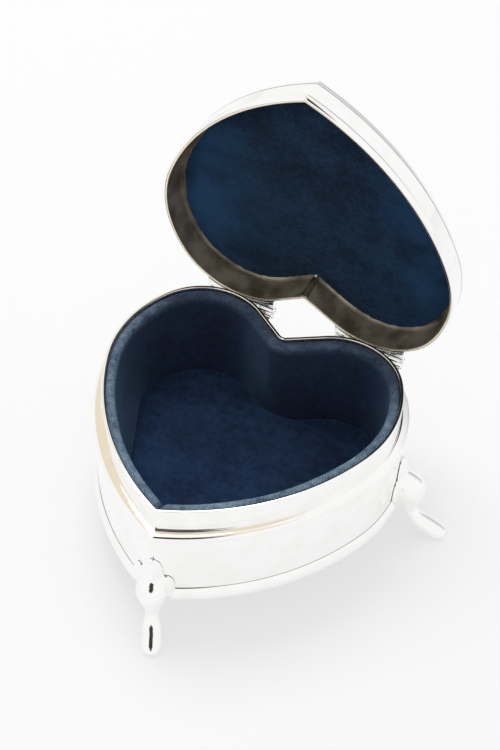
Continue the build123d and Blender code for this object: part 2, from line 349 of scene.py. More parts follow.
def places(mesh):
    """Places of a mesh's points."""
    flat = np.empty(len(mesh.vertices) * 3)
    mesh.vertices.foreach_get("co", flat)
    return flat.reshape(-1, 3)


def put_at(mesh, points):
    """Moves a mesh's points to these places."""
    mesh.vertices.foreach_set("co", points.ravel())
    mesh.update()


def mark(mesh, name, values):
    """Keeps a value for each point as an attribute."""
    mesh.attributes.new(name, "FLOAT", "POINT").data.foreach_set("value", np.array(values))


def tube_faces(rows, sides, first=0):
    """Faces between rows of points, each row closed and with this many points."""
    return [
        (low + k, low + (k + 1) % sides, low + sides + (k + 1) % sides, low + sides + k)
        for low in range(first, first + (rows - 1) * sides, sides)
        for k in range(sides)
    ]


def settled(piece):
    """Mesh of a working object with its modifiers applied. The object goes."""
    bpy.context.view_layer.update()
    mesh = bpy.data.meshes.new_from_object(piece.evaluated_get(bpy.context.evaluated_depsgraph_get()))
    bpy.data.objects.remove(piece)
    return mesh


def finished(node, mesh, material, body, turned=None):
    """Piece that stands for a node and rides on its body."""
    if turned:
        mesh.transform(turned)
    mesh.shade_smooth()
    if not mesh.materials:
        mesh.materials.append(material)
    piece = linked(node + "_finish", mesh)
    mesh.name = piece.name
    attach(piece, body)
    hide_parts(node)
    return piece


def soften(piece, width, segments=3):
    """Rounds the sharp edges of a metal piece, as polishing does, and keeps its broad faces even."""
    bevel = piece.modifiers.new("soft edges", "BEVEL")
    bevel.width = width
    bevel.segments = segments
    bevel.limit_method = "ANGLE"
    bevel.angle_limit = sharp_angle
    bevel.use_clamp_overlap = True
    joined = piece.modifiers.new("no slivers", "WELD")
    joined.merge_threshold = 0.003 * mm
    even = piece.modifiers.new("even faces", "WEIGHTED_NORMAL")
    even.weight = 60


def crisp(piece):
    """Keeps the sharp edges of a metal piece sharp, and its other faces smooth."""
    piece.data.set_sharp_from_angle(angle=sharp_angle)


# Shader nodes


def feed(tree, node, **inputs):
    """Sets a node's inputs, given by name, to values or to the sockets that feed them."""
    for key, value in inputs.items():
        socket = node.inputs[int(key[1:])] if key[0] == "_" else node.inputs[key.replace("_", " ")]
        if isinstance(value, bpy.types.NodeSocket):
            tree.links.new(value, socket)
        else:
            socket.default_value = value
    return node


def step(tree, kind, settings=None, **inputs):
    """New node with these settings and inputs."""
    node = tree.nodes.new(kind)
    for key, value in (settings or {}).items():
        setattr(node, key, value)
    return feed(tree, node, **inputs)


def made(tree, kind, settings=None, **inputs):
    """First output of a new node."""
    return step(tree, kind, settings, **inputs).outputs[0]


def new_material(name):
    """New material, its nodes and its main shader."""
    material = bpy.data.materials.new(name)
    material.use_nodes = True
    tree = material.node_tree
    return material, tree, tree.nodes["Principled BSDF"]


def place_on(tree):
    """Place on the piece, for patterns."""
    return step(tree, "ShaderNodeTexCoord").outputs["Object"]


def marked(tree, name):
    """Value that the piece keeps under this name."""
    return step(tree, "ShaderNodeAttribute", {"attribute_name": name}).outputs["Fac"]


def uneven(tree, strength, depth, height):
    """Normal of a surface with this height on it."""
    return step(tree, "ShaderNodeBump", Strength=strength, Distance=depth, Height=height).outputs["Normal"]


def ramp(tree, factor, *stops):
    """Colour ramp fed by factor, with stops given as (place, colour)."""
    node = step(tree, "ShaderNodeValToRGB", Fac=factor)
    while len(node.color_ramp.elements) < len(stops):
        node.color_ramp.elements.new(0.5)
    for element, (place, colour) in zip(node.color_ramp.elements, stops):
        element.position = place
        element.color = (*colour, 1)
    return node.outputs["Color"]


def noise(tree, vector, scale, detail=3.0, roughness=0.5):
    """Noise on these coordinates."""
    return step(
        tree, "ShaderNodeTexNoise", Vector=vector, Scale=scale, Detail=detail, Roughness=roughness
    ).outputs["Fac"]


def stretched(tree, vector, scale, turn=(0, 0, 0)):
    """Coordinates squeezed and turned."""
    return step(tree, "ShaderNodeMapping", Vector=vector, Scale=scale, Rotation=turn).outputs["Vector"]


def calc(tree, operation, *values):
    """Result of a sum on values or sockets."""
    return made(
        tree, "ShaderNodeMath", {"operation": operation}, **{f"_{i}": v for i, v in enumerate(values)}
    )


def mixed(tree, share, first, second):
    """Colour between two colours."""
    return step(
        tree, "ShaderNodeMix", {"data_type": "RGBA"}, _0=share, _6=first, _7=second
    ).outputs[2]


def grey(value):
    """Neutral colour."""
    return (value, value, value)


def polished_silver(name, bright, wear_and_sheen, smooth, dull, metallic=1.0, ripple=0.02 * mm):
    """Hand-polished silver: faint clouding, hairline scratches and a slightly wavy surface.

    The attribute yellow marks where the silver is tinted yellow.
    """
    material, tree, shader = new_material(name)
    place = place_on(tree)
    cloud = noise(tree, place, 160, 4)
    spots = ramp(tree, noise(tree, place, 120, 2), (0.3, grey(0.55)), (0.6, grey(1.0)))
    patchy = calc(tree, "MULTIPLY", marked(tree, "yellow"), spots)
    colour = mixed(tree, patchy, ramp(tree, cloud, (0.35, wear_and_sheen), (0.62, bright)), (0.83, 0.71, 0.52, 1))
    hairs = noise(tree, stretched(tree, place, (300, 4000, 300), (0.3, 0.2, 0.7)), 1, 2)
    roughness = ramp(tree, hairs, (0.45, grey(smooth)), (0.75, grey(dull)))
    normal = uneven(tree, 0.25, ripple, noise(tree, place, 90, 2))
    feed(tree, shader, Base_Color=colour, Metallic=metallic, Roughness=roughness, Normal=normal)
    return material


def blue_velvet(name, dark, light, sheen, wear_and_sheen=None, side_sheen=None):
    """Cut-pile velvet: clouds and strokes where the pile lies over, fine grain and a blue sheen.

    The colour for a rolled edge, which the attribute roll marks, ribbed on the slant, is painted sheen:
    lighter than the rest. The colour towards the sides of a pad is painted sheen too, lighter where light
    falls on the pile.
    """
    material, tree, shader = new_material(name)
    place = place_on(tree)
    clouds = noise(tree, place, 75, 5, 0.6)
    strokes = noise(tree, stretched(tree, place, (90, 420, 160), (0.5, 0.2, 0.8)), 1, 3)
    tufts = noise(tree, place, 650, 3, 0.6)
    grain = noise(tree, place, 2300, 2, 0.6)
    pile = calc(tree, "MULTIPLY", clouds, 0.35)
    for layer, weight in ((strokes, 0.15), (tufts, 0.25), (grain, 0.25)):
        pile = calc(tree, "ADD", pile, calc(tree, "MULTIPLY", layer, weight))
    colour = ramp(tree, pile, (0.41, dark), (0.59, light))
    height = grain
    # Painted sheen: the pad's colour turns lighter towards its sides.
    if side_sheen:
        aside = calc(tree, "ABSOLUTE", step(tree, "ShaderNodeSeparateXYZ", Vector=place).outputs["X"])
        outwards = step(
            tree, "ShaderNodeMapRange", Value=aside, From_Min=14 * mm, From_Max=38 * mm
        ).outputs["Result"]
        side_sheen_share = calc(tree, "MULTIPLY", outwards, ramp(tree, clouds, (0.35, grey(0.25)), (0.6, grey(1.0))))
        colour = mixed(tree, side_sheen_share, colour, (*side_sheen, 1))
    # Rolled edge: ribs in its surface, and a lighter colour there, which is painted sheen.
    if wear_and_sheen:
        roll = marked(tree, "roll")
        ribs = calc(tree, "SINE", calc(tree, "MULTIPLY", marked(tree, "along"), 2 * pi))
        roll_sheen_pile = calc(tree, "ADD", calc(tree, "MULTIPLY", ribs, 0.03), pile)
        colour = mixed(tree, roll, colour, ramp(tree, roll_sheen_pile, (0.38, light), (0.62, wear_and_sheen)))
        height = calc(tree, "ADD", grain, calc(tree, "MULTIPLY", calc(tree, "MULTIPLY", ribs, roll), 0.16))
    normal = uneven(tree, 0.8, 0.25 * mm, height)
    feed(tree, shader, Base_Color=colour, Roughness=0.95, Specular_IOR_Level=0.1, Normal=normal)
    feed(tree, shader, Sheen_Weight=sheen, Sheen_Roughness=0.45, Sheen_Tint=(0.20, 0.38, 0.60, 1))
    return material


def plain_card():
    """Grey-brown card with flecks."""
    material, tree, shader = new_material("card")
    flecks = noise(tree, place_on(tree), 1200, 4)
    colour = ramp(tree, flecks, (0.3, (0.30, 0.23, 0.15)), (0.7, (0.48, 0.39, 0.28)))
    feed(tree, shader, Base_Color=colour, Roughness=0.9)
    return material


silver = polished_silver("polished_silver", (0.972, 0.970, 0.962), (0.945, 0.940, 0.925), 0.05, 0.14)
# Tarnished silver for the lid's inside, darkened further as painted shade.
dim_silver = polished_silver("tarnished_shaded_silver", (0.47, 0.415, 0.315), (0.18, 0.153, 0.108), 0.34, 0.52, 0.6)
floor_velvet = blue_velvet("blue_velvet_floor", (0.010, 0.019, 0.046), (0.025, 0.056, 0.130), 0.4)
# Its sides turn a lighter blue as painted sheen.
lid_velvet = blue_velvet(
    "blue_velvet_lid", (0.0035, 0.0075, 0.018), (0.0105, 0.030, 0.066), 0.25, side_sheen=(0.016, 0.063, 0.150)
)
# Its rolled edge turns light blue as painted sheen.
lining_velvet = blue_velvet(
    "blue_velvet_lining", (0.013, 0.015, 0.035), (0.023, 0.036, 0.086), 0.5, wear_and_sheen=(0.25, 0.35, 0.43)
)
card = plain_card()


# Geometry Nodes: rings of sheet and wire round the heart, and the hinge knuckles


def new_tree(name, *sizes):
    """Geometry Nodes tree with inputs given as (name, kind). Returns it with its inputs and its result."""
    tree = bpy.data.node_groups.new(name, "GeometryNodeTree")
    for label, kind in sizes:
        tree.interface.new_socket(label, in_out="INPUT", socket_type="NodeSocket" + kind)
    tree.interface.new_socket("Piece", in_out="OUTPUT", socket_type="NodeSocketGeometry")
    return tree, tree.nodes.new("NodeGroupInput").outputs, tree.nodes.new("NodeGroupOutput").inputs


def kept_place(tree, geometry):
    """The geometry, and the place of each of its points kept as an attribute."""
    node = tree.nodes.new("GeometryNodeCaptureAttribute")
    node.capture_items.new("VECTOR", "Place")
    tree.links.new(geometry, node.inputs["Geometry"])
    tree.links.new(tree.nodes.new("GeometryNodeInputPosition").outputs["Position"], node.inputs["Place"])
    return node.outputs["Geometry"], node.outputs["Place"]


def carrying_tree():
    """Carries a section round the outline: its x is the offset and its y is the height."""
    tree, given, result = new_tree("carry_round", ("Outline", "Geometry"), ("Section", "Geometry"))
    tree.interface.new_socket("Offset", in_out="OUTPUT", socket_type="NodeSocketFloat")
    line = made(tree, "GeometryNodeMeshToCurve", Mesh=given["Outline"])
    path, foot = kept_place(tree, line)
    section, spot = kept_place(tree, given["Section"])
    swept = made(tree, "GeometryNodeCurveToMesh", Curve=path, Profile_Curve=section)
    parts = step(tree, "ShaderNodeSeparateXYZ", Vector=spot).outputs
    way = step(
        tree, "GeometryNodeInputNamedAttribute", {"data_type": "FLOAT_VECTOR"}, Name="way"
    ).outputs["Attribute"]
    moved = made(tree, "ShaderNodeVectorMath", {"operation": "SCALE"}, _0=way, Scale=parts["X"])
    lifted = made(tree, "ShaderNodeCombineXYZ", Z=parts["Y"])
    spread = made(tree, "ShaderNodeVectorMath", _0=foot, _1=moved)
    place = made(tree, "ShaderNodeVectorMath", _0=spread, _1=lifted)
    placed = made(tree, "GeometryNodeSetPosition", Geometry=swept, Position=place)
    closed = made(tree, "GeometryNodeMergeByDistance", Geometry=placed, Distance=0.001 * mm)
    tree.links.new(closed, result["Piece"])
    tree.links.new(parts["X"], tree.nodes["Group Output"].inputs["Offset"])
    return tree


carry_round = carrying_tree()


def end_in_metal(tree, geometry, metal, result):
    """Ends a tree: real mesh, smooth, in its metal."""
    real = made(tree, "GeometryNodeRealizeInstances", Geometry=geometry)
    smooth = made(tree, "GeometryNodeSetShadeSmooth", Geometry=real)
    clad = made(tree, "GeometryNodeSetMaterial", Geometry=smooth, Material=metal)
    tree.links.new(clad, result)
    return clad


def rounded_corners(tree, strip, radius):
    """Section with its corners rounded."""
    return made(
        tree,
        "GeometryNodeFilletCurve",
        {"mode": "POLY"},
        Curve=strip,
        Count=3,
        Radius=radius,
        Limit_Radius=True,
    )


def sheet_tree():
    """Upright strip of sheet round the heart, with rounded edges and a metal of its own on the inside."""
    tree, given, result = new_tree(
        "sheet_round_heart",
        ("Outline", "Geometry"),
        ("Inner", "Float"),
        ("Outer", "Float"),
        ("Low", "Float"),
        ("High", "Float"),
        ("Edge radius", "Float"),
        ("Outside metal", "Material"),
        ("Inside metal", "Material"),
    )
    corners = [
        made(tree, "ShaderNodeCombineXYZ", X=given[x], Y=given[y])
        for x, y in (("Inner", "Low"), ("Outer", "Low"), ("Outer", "High"), ("Inner", "High"))
    ]
    strip = made(
        tree,
        "GeometryNodeCurvePrimitiveQuadrilateral",
        {"mode": "POINTS"},
        **{f"Point_{i + 1}": corner for i, corner in enumerate(corners)},
    )
    rounded = rounded_corners(tree, strip, given["Edge radius"])
    ring = step(
        tree, "GeometryNodeGroup", {"node_tree": carry_round}, Outline=given["Outline"], Section=rounded
    ).outputs
    clad = end_in_metal(tree, ring["Piece"], given["Outside metal"], result["Piece"])
    middle = calc(tree, "MULTIPLY", calc(tree, "ADD", given["Inner"], given["Outer"]), 0.5)
    inside = calc(tree, "LESS_THAN", ring["Offset"], middle)
    lined = made(
        tree, "GeometryNodeSetMaterial", Geometry=clad, Selection=inside, Material=given["Inside metal"]
    )
    tree.links.new(lined, result["Piece"])
    return tree


def moulding_tree():
    """Moulding round the heart: an arc through foot, fullest place and top, with three corners behind."""
    tree, given, result = new_tree(
        "moulding_round_heart",
        ("Outline", "Geometry"),
        ("Foot", "Vector"),
        ("Fullest", "Vector"),
        ("Top", "Vector"),
        ("Shoulder", "Vector"),
        ("Back top", "Vector"),
        ("Back foot", "Vector"),
        ("Arc points", "Int"),
        ("Metal", "Material"),
    )
    joined = tree.nodes.new("GeometryNodeJoinGeometry")
    front = step(
        tree,
        "GeometryNodeCurveArc",
        {"mode": "POINTS"},
        Resolution=given["Arc points"],
        Start=given["Foot"],
        Middle=given["Fullest"],
        End=given["Top"],
    )
    tree.links.new(front.outputs["Curve"], joined.inputs[0])
    corners = ("Top", "Shoulder", "Back top", "Back foot", "Foot")
    for start, end in zip(corners, corners[1:]):
        back = step(tree, "GeometryNodeCurvePrimitiveLine", Start=given[start], End=given[end])
        tree.links.new(back.outputs["Curve"], joined.inputs[0])
    ring = step(
        tree,
        "GeometryNodeGroup",
        {"node_tree": carry_round},
        Outline=given["Outline"],
        Section=joined.outputs[0],
    ).outputs
    end_in_metal(tree, ring["Piece"], given["Metal"], result["Piece"])
    return tree


def knuckle_tree():
    """Every second length of tube along a hinge, with rounded ends, from a tube wall turned about the pin."""
    tree, given, result = new_tree(
        "hinge_knuckles",
        ("Start", "Vector"),
        ("Pitch", "Float"),
        ("Gap", "Float"),
        ("Count", "Int"),
        ("Radius", "Float"),
        ("Bore", "Float"),
        ("Edge radius", "Float"),
        ("Metal", "Material"),
    )
    wall = calc(tree, "SUBTRACT", given["Radius"], given["Bore"])
    length = calc(tree, "SUBTRACT", given["Pitch"], given["Gap"])
    middle = calc(tree, "MULTIPLY", calc(tree, "ADD", given["Radius"], given["Bore"]), 0.5)
    strip = made(tree, "GeometryNodeCurvePrimitiveQuadrilateral", Width=wall, Height=length)
    rounded = rounded_corners(tree, strip, given["Edge radius"])
    round_pin = made(tree, "GeometryNodeCurvePrimitiveCircle", Resolution=40, Radius=middle)
    tube = made(tree, "GeometryNodeCurveToMesh", Curve=round_pin, Profile_Curve=rounded)
    lying = made(tree, "GeometryNodeTransform", Geometry=tube, Rotation=(0, pi / 2, 0))
    two_pitches = calc(tree, "MULTIPLY", given["Pitch"], 2.0)
    every_second = made(tree, "ShaderNodeCombineXYZ", X=two_pitches)
    line = made(
        tree, "GeometryNodeMeshLine", Count=given["Count"], Start_Location=given["Start"], Offset=every_second
    )
    row = made(tree, "GeometryNodeInstanceOnPoints", Points=line, Instance=lying)
    end_in_metal(tree, row, given["Metal"], result["Piece"])
    return tree


def grown(tree, sizes, start=None):
    """Mesh that a tree makes with these sizes."""
    host = linked(tree.name, start.copy() if start else bpy.data.meshes.new(tree.name))
    modifier = host.modifiers.new(tree.name, "NODES")
    modifier.node_group = tree
    for socket in tree.interface.items_tree:
        if socket.in_out != "INPUT" or socket.socket_type == "NodeSocketGeometry":
            continue
        value = sizes[socket.name]
        if socket.socket_type == "NodeSocketVector":
            for axis, part in enumerate(value):
                modifier[socket.identifier][axis] = part
        else:
            modifier[socket.identifier] = value
    return settled(host)


def outline_mesh(name, notch_round=None, tip_start=None, exact=0.0):
    """Closed line on the outline with its ways as an attribute."""
    feet, ways = heart_outline(notch_round, tip_start, exact)
    count = len(feet)
    mesh = bpy.data.meshes.new(name)
    mesh.from_pydata([(x, y, 0) for x, y in feet], [(i, (i + 1) % count) for i in range(count)], [])
    attribute = mesh.attributes.new("way", "FLOAT_VECTOR", "POINT")
    attribute.data.foreach_set("vector", np.column_stack((ways, np.zeros(count))).ravel())
    return mesh


sheet_ring = sheet_tree()
moulding_ring = moulding_tree()
knuckle_row = knuckle_tree()
wall_outline = outline_mesh("wall_outline", wall_notch_round, wall_tip_start)
collar_outline = outline_mesh("collar_outline", collar_notch_round, None, collar_thickness)
lid_outline = outline_mesh("lid_outline", None, None, lid_outer)


def rise(values, low, high):
    """0 up to low, 1 from high on, and even between."""
    return np.clip((values - low) / (high - low), 0, 1)


def sheet(node, outline, inner, outer, low, high, edge, body, inside=silver, yellow=None, turned=None):
    """Upright silver strip in place of a node. Yellow gives its yellow tint, as a function of its points."""
    sizes = {
        "Inner": inner,
        "Outer": outer,
        "Low": low,
        "High": high,
        "Edge radius": edge,
        "Outside metal": silver,
        "Inside metal": inside,
    }
    ring = face_outwards(grown(sheet_ring, sizes, outline))
    if yellow:
        mark(ring, "yellow", yellow(places(ring)))
    soften(finished(node, ring, silver, body, turned), sheet_softening, 2)


def moulding(node, outline, foot, fullest, top, shoulder, back_top, back_foot, edge, body, turned=None):
    """Silver moulding in place of a node."""
    sizes = {
        "Foot": foot,
        "Fullest": fullest,
        "Top": top,
        "Shoulder": shoulder,
        "Back top": back_top,
        "Back foot": back_foot,
        "Arc points": moulding_steps,
        "Metal": silver,
    }
    ring = face_outwards(grown(moulding_ring, sizes, outline))
    piece = finished(node, ring, silver, body, turned)
    if edge:
        soften(piece, edge)
    else:
        crisp(piece)


def collar_yellow(points):
    """Yellow tint of the collar: along its top edge, more towards the back."""
    return rise(points[:, 2], collar_top - 0.2 * mm, collar_top) * rise(points[:, 1], -14 * mm, 4 * mm)


def lid_rim_yellow(points):
    """Yellow tint of the lid's band: along its lower edge."""
    return 1 - rise(points[:, 2], lid_rim, lid_rim + 0.11 * mm)


# Box: wall, mouldings and collar
wall_top = seat_height - rim_height
base_top = base_height + base_thickness
moulding_inner = wall_outer + seam
rim_inner = collar_thickness - 2 * seam
sheet(
    "body_wall",
    wall_outline,
    wall_outer - wall_thickness,
    wall_outer,
    base_top + seam,
    wall_top - seam,
    wall_edge,
    "box",
)
moulding(
    "base_moulding",
    wall_outline,
    foot=(moulding_inner + base_moulding_foot, base_height),
    fullest=(moulding_inner + base_moulding_bulge, base_height + base_moulding_fullest),
    top=(moulding_inner, base_height + base_moulding_height),
    shoulder=(moulding_inner, base_height + base_moulding_height * 0.7),
    back_top=(moulding_inner, base_height + base_moulding_height * 0.4),
    back_foot=(moulding_inner, base_height),
    edge=base_moulding_edge,
    body="box",
)
moulding(
    "rim_moulding",
    wall_outline,
    foot=(wall_outer, wall_top),
    fullest=(rim_outer, seat_height - rim_height / 2),
    top=(rim_edge, seat_height - rim_fall),
    shoulder=(rim_seat, seat_height),
    back_top=(rim_inner, seat_height),
    back_foot=(rim_inner, wall_top),
    edge=rim_moulding_edge,
    body="box",
)
sheet(
    "collar",
    collar_outline,
    0,
    collar_thickness,
    wall_top - collar_tail,
    collar_top,
    collar_edge,
    "box",
    yellow=collar_yellow,
)

# Lid: band and bead
# The band's inside is the tarnished silver, darkened as painted shade.
sheet(
    "lid_band",
    lid_outline,
    lid_inner,
    lid_outer,
    lid_rim,
    lid_band_top,
    lid_band_edge,
    "lid",
    dim_silver,
    yellow=lid_rim_yellow,
    turned=lid_opening,
)
bead_inner = lid_outer + seam
moulding(
    "lid_bead",
    lid_outline,
    foot=(bead_inner, lid_rim),
    fullest=(lid_bead_outer, lid_rim + lid_bead_height / 2),
    top=(bead_inner, lid_rim + lid_bead_height),
    shoulder=(bead_inner, lid_rim + lid_bead_height * 0.75),
    back_top=(bead_inner, lid_rim + lid_bead_height * 0.5),
    back_foot=(bead_inner, lid_rim + lid_bead_height * 0.25),
    edge=None,
    body="lid",
    turned=lid_opening,
)

# Hinges: tube lengths, and bearers and pins with softened edges
knuckle_pitch = hinge_length / knuckle_count
for hand, side in (("left", -1), ("right", 1)):
    for owner, body, first, count in (("box", "box", 0, 3), ("lid", "lid", 1, 2)):
        start_x = side * lobe_centre - hinge_length / 2 + (first + 0.5) * knuckle_pitch
        sizes = {
            "Start": (start_x, hinge_place.y, hinge_place.z),
            "Pitch": knuckle_pitch,
            "Gap": knuckle_gap,
            "Count": count,
            "Radius": knuckle_radius,
            "Bore": pin_bore,
            "Edge radius": knuckle_edge,
            "Metal": silver,
        }
        row = face_outwards(grown(knuckle_row, sizes))
        finished(f"{hand}_{owner}_knuckles", row, silver, body)
    for part, body, edge in (
        ("box_leaf", "box", leaf_edge),
        ("lid_leaf", "lid", leaf_edge),
        ("hinge_pin", "box", pin_edge),
    ):
        name = f"{hand}_{part}"
        copy = face_outwards(frame["nodes"][name].data.copy())
        with reworked(copy) as shape:
            bmesh.ops.dissolve_limit(shape, angle_limit=radians(1), verts=shape.verts, edges=shape.edges)
        copy.materials.clear()
        soften(finished(name, copy, silver, body), edge, 2)


# Skins over the heart: loops at several offsets, with both ends filled


def nearest_on(loop, points):
    """For each point, which point of a loop is nearest."""
    nearest = []
    for start in range(0, len(points), 400):
        gap = points[start : start + 400, None, :] - loop[None, :, :]
        nearest.append(np.argmin(np.sum(gap**2, axis=2), axis=1))
    return np.concatenate(nearest)


def signed_depth(points, loop, ways):
    """How far points lie inside a loop, by its nearest point."""
    nearest = nearest_on(loop, points)
    return np.sum((loop[nearest] - points) * ways[nearest], axis=1)


def fill_inside(offset, notch_round, spacing):
    """Points spread inside the loop at this offset, and the triangles over the loop's points and these."""
    feet, ways = heart_outline(notch_round, None, offset)
    loop = feet + ways * offset
    xs = np.arange(-40 * mm, 40 * mm, spacing)
    ys = np.arange(-60 * mm, 25 * mm, spacing)
    spread = np.array([(x + (row % 2) * spacing / 2, y) for row, y in enumerate(ys) for x in xs])
    spread = spread[signed_depth(spread, loop, ways) > spacing * 0.6]
    both = np.concatenate((loop, spread))
    count = len(loop)
    edges = [(i, (i + 1) % count) for i in range(count)]
    found = delaunay_2d_cdt([Vector(p) for p in both], edges, [], 1, 1e-9)
    return spread, [tuple(f) for f in found[2]]


def smooth_depth(points, edge):
    """Depth inside the heart at this offset, with no crease along the middle."""
    loop = heart_points(edge)
    half = len(loop) // 2
    sides = (loop[: half + 1], np.concatenate((loop[half:], loop[:1])))
    power = 4
    total = np.zeros(len(points))
    for side in sides:
        gap = points - side[nearest_on(side, points)]
        total += (np.linalg.norm(gap, axis=1) + 1e-7) ** -power
    return total ** (-1 / power)


def crowned(points, edge, run):
    """Share of the crown at these points: nothing at the edge, all of it at this run inside."""
    share = np.clip(smooth_depth(points, edge) / run, 0, 1)
    return 1 - (1 - share) ** 2


def skin(stations, notch_round, first_height, last_height, spacing):
    """Points and faces through loops given as (offset, height). A height may be a function of points."""
    points = []
    count = len(heart_points(0, notch_round))
    faces = tube_faces(len(stations), count)

    def raised(flat, height):
        return np.column_stack((flat, height(flat) if callable(height) else np.full(len(flat), height)))

    for offset, height in stations:
        points.append(raised(heart_points(offset, notch_round), height))
    used = count * len(stations)
    for row, height in ((0, first_height), (len(stations) - 1, last_height)):
        spread, triangles = fill_inside(stations[row][0], notch_round, spacing)
        points.append(raised(spread, height))
        for triangle in triangles:
            faces.append([row * count + v if v < count else used + v - count for v in triangle])
        used += len(spread)
    return np.concatenate(points), faces


def lid_dome():
    """Domed top of the lid: a quarter-round shoulder and a gentle crown, one sheet thick."""
    run_in = np.array((0.5, 1.2, 2.0, 3.0, 4.2, 5.6, 7.2, 9.0)) * mm

    def half(outer, shoulder):
        top = lid_shoulder_foot + shoulder
        edge = outer - shoulder

        def height(flat):
            return top + lid_crown * crowned(flat, edge, lid_crown_run)

        turns = np.linspace(0, pi / 2, 9)
        rounded = [(outer - shoulder * (1 - cos(t)), lid_shoulder_foot + shoulder * sin(t)) for t in turns]
        return rounded + [(edge - run, height) for run in run_in], height

    outside, outside_height = half(lid_outer, lid_shoulder)
    inside, inside_height = half(lid_inner, lid_inner_shoulder)
    return skin(inside[::-1] + outside, None, inside_height, outside_height, dome_spacing)


dome = face_outwards(plain_mesh("lid_dome", *lid_dome()))
dome.materials.append(silver)
dome.materials.append(dim_silver)
# The dome's underside is the tarnished silver, darkened as painted shade.
for polygon in dome.polygons:
    polygon.material_index = int(polygon.normal.z < -0.01)
crisp(finished("lid_top", dome, silver, "lid", lid_opening))

# Velvet pads, swollen by a short cloth simulation


def even_skin(points, faces, voxel, rounds):
    """One even skin over closed shells, smoothed this many rounds, at work_scale times its size."""
    rough = linked("rough", face_outwards(plain_mesh("rough", np.array(points) * work_scale, faces)))
    remesh = rough.modifiers.new("one skin", "REMESH")
    remesh.mode = "VOXEL"
    remesh.voxel_size = voxel * work_scale
    smooth = rough.modifiers.new("smooth skin", "SMOOTH")
    smooth.factor = 0.5
    smooth.iterations = rounds
    return settled(rough)


def swollen(points, faces, cap, held):
    """Mesh of a pad after its cloth has swollen. No point moves past the cap.

    Held says which points stay where they are, on the pad's card.
    """
    pad = linked("pad_cloth", even_skin(points, faces, pad_voxel, 8))
    start = places(pad.data)
    end = start
    group = pad.vertex_groups.new(name="held")
    group.add([int(i) for i in np.nonzero(held(start / work_scale))[0]], 1.0, "REPLACE")
    cloth = pad.modifiers.new("cloth", "CLOTH")
    cloth.settings.quality = 4
    cloth.settings.vertex_group_mass = "held"
    cloth.settings.use_pressure = True
    cloth.settings.uniform_pressure_force = 4.0
    cloth.settings.shrink_min = -0.012
    cloth.settings.effector_weights.gravity = 0.0
    cloth.collision_settings.use_collision = False
    scene = bpy.context.scene
    for number in range(1, 21):
        scene.frame_set(number)
    end = places(pad.evaluated_get(bpy.context.evaluated_depsgraph_get()).to_mesh())
    scene.frame_set(1)
    pad.modifiers.clear()
    move = end - start
    length = np.linalg.norm(move, axis=1, keepdims=True)
    limit = cap * work_scale
    end = start + move * (limit * np.tanh(length / limit) / np.maximum(length, 1e-9))
    mesh = pad.data.copy()
    put_at(mesh, end / work_scale)
    bpy.data.objects.remove(pad)
    return mesh


def padded(node, mesh, cloth, body, turned=None):
    """Velvet pad in place of a node, with one subdivision."""
    piece = finished(node, mesh, cloth, body, turned)
    finer = piece.modifiers.new("finer", "SUBSURF")
    finer.levels = finer.render_levels = 1


def puffed(points):
    """Points of the lining and the floor, moved in where the velvet puffs out."""
    x, y, z = np.asarray(points).T
    along = np.minimum(rise(-y, -puff_back, -puff_full_back), rise(y, puff_front, puff_full_front))
    along = along * along * (3 - 2 * along) * rise(-x, puff_middle, puff_side)
    low = (1 - rise(z, lining_floor + 1 * mm, velvet_top - 4 * mm)) ** 1.5
    move = lining_puff * along * low
    return np.column_stack((x + puff_way[0] * move, y + puff_way[1] * move, z))


def pad_shape(outer, back, side, crown, run, notch_round):
    """Pad on its back: rounded sides, then a crown with soft lumps. Side and crown may point down."""
    front = back + side
    edge = outer - pad_tuck

    def lumpy(flat):
        return pad_lumps * np.array([lump(Vector((x, y, 0)) * 140) for x, y in flat])

    def height(flat):
        share = crowned(flat, edge, run)
        return front + crown * share + lumpy(flat) * share

    sides = arc_through((edge, back), (outer, back + side / 2), (edge, front), 6)
    inwards = [(edge - run_in * mm, height) for run_in in (0.5, 1.2, 2.2, 3.5)]
    return skin(sides + inwards, notch_round, back, height, pad_spacing)


floor_points, floor_faces = pad_shape(
    floor_pad_outer + floor_pad_overlap,
    floor_pad_bottom,
    floor_pad_side,
    floor_pad_crown,
    floor_pad_crown_run,
    floor_notch_round,
)


def floor_pad_fixed(points):
    """Points of the floor's pad on its card."""
    return points[:, 2] < floor_pad_bottom + 0.25 * mm


floor_mesh = swollen(puffed(floor_points), floor_faces, floor_pad_cap, floor_pad_fixed)
padded("floor_pad", floor_mesh, floor_velvet, "box")

lid_points, lid_faces = pad_shape(
    lid_pad_outer,
    lid_pad_back,
    -lid_pad_side,
    -lid_pad_crown,
    lid_pad_crown_run,
    collar_notch_round,
)


def lid_pad_fixed(points):
    """Points of the lid's pad on its card, and those near its edge, which the collar comes up to."""
    near_edge = smooth_depth(points[:, :2], lid_pad_outer) < lid_pad_held
    return near_edge | (points[:, 2] > lid_pad_back - 0.2 * mm)


lid_mesh = swollen(lid_points, lid_faces, lid_pad_cap, lid_pad_fixed)
padded("lid_pad", lid_mesh, lid_velvet, "lid", lid_opening)


def lining_loop(offset, height):
    """Points of the lining at this offset and height. Under the collar it bends more softly at the notch."""
    share = rise(height, lining_floor + 3 * mm, wall_top - collar_tail)
    share = share * share * (3 - 2 * share)
    return heart_points(offset, floor_notch_round + (lining_notch_round - floor_notch_round) * share)


def ring_faces(count, size):
    """Faces of a section of this size, carried round this many stations."""
    faces = []
    for station in range(count):
        ahead = (station + 1) % count
        for k in range(size):
            after = (k + 1) % size
            faces.append((station * size + k, ahead * size + k, ahead * size + after, station * size + after))
    return faces


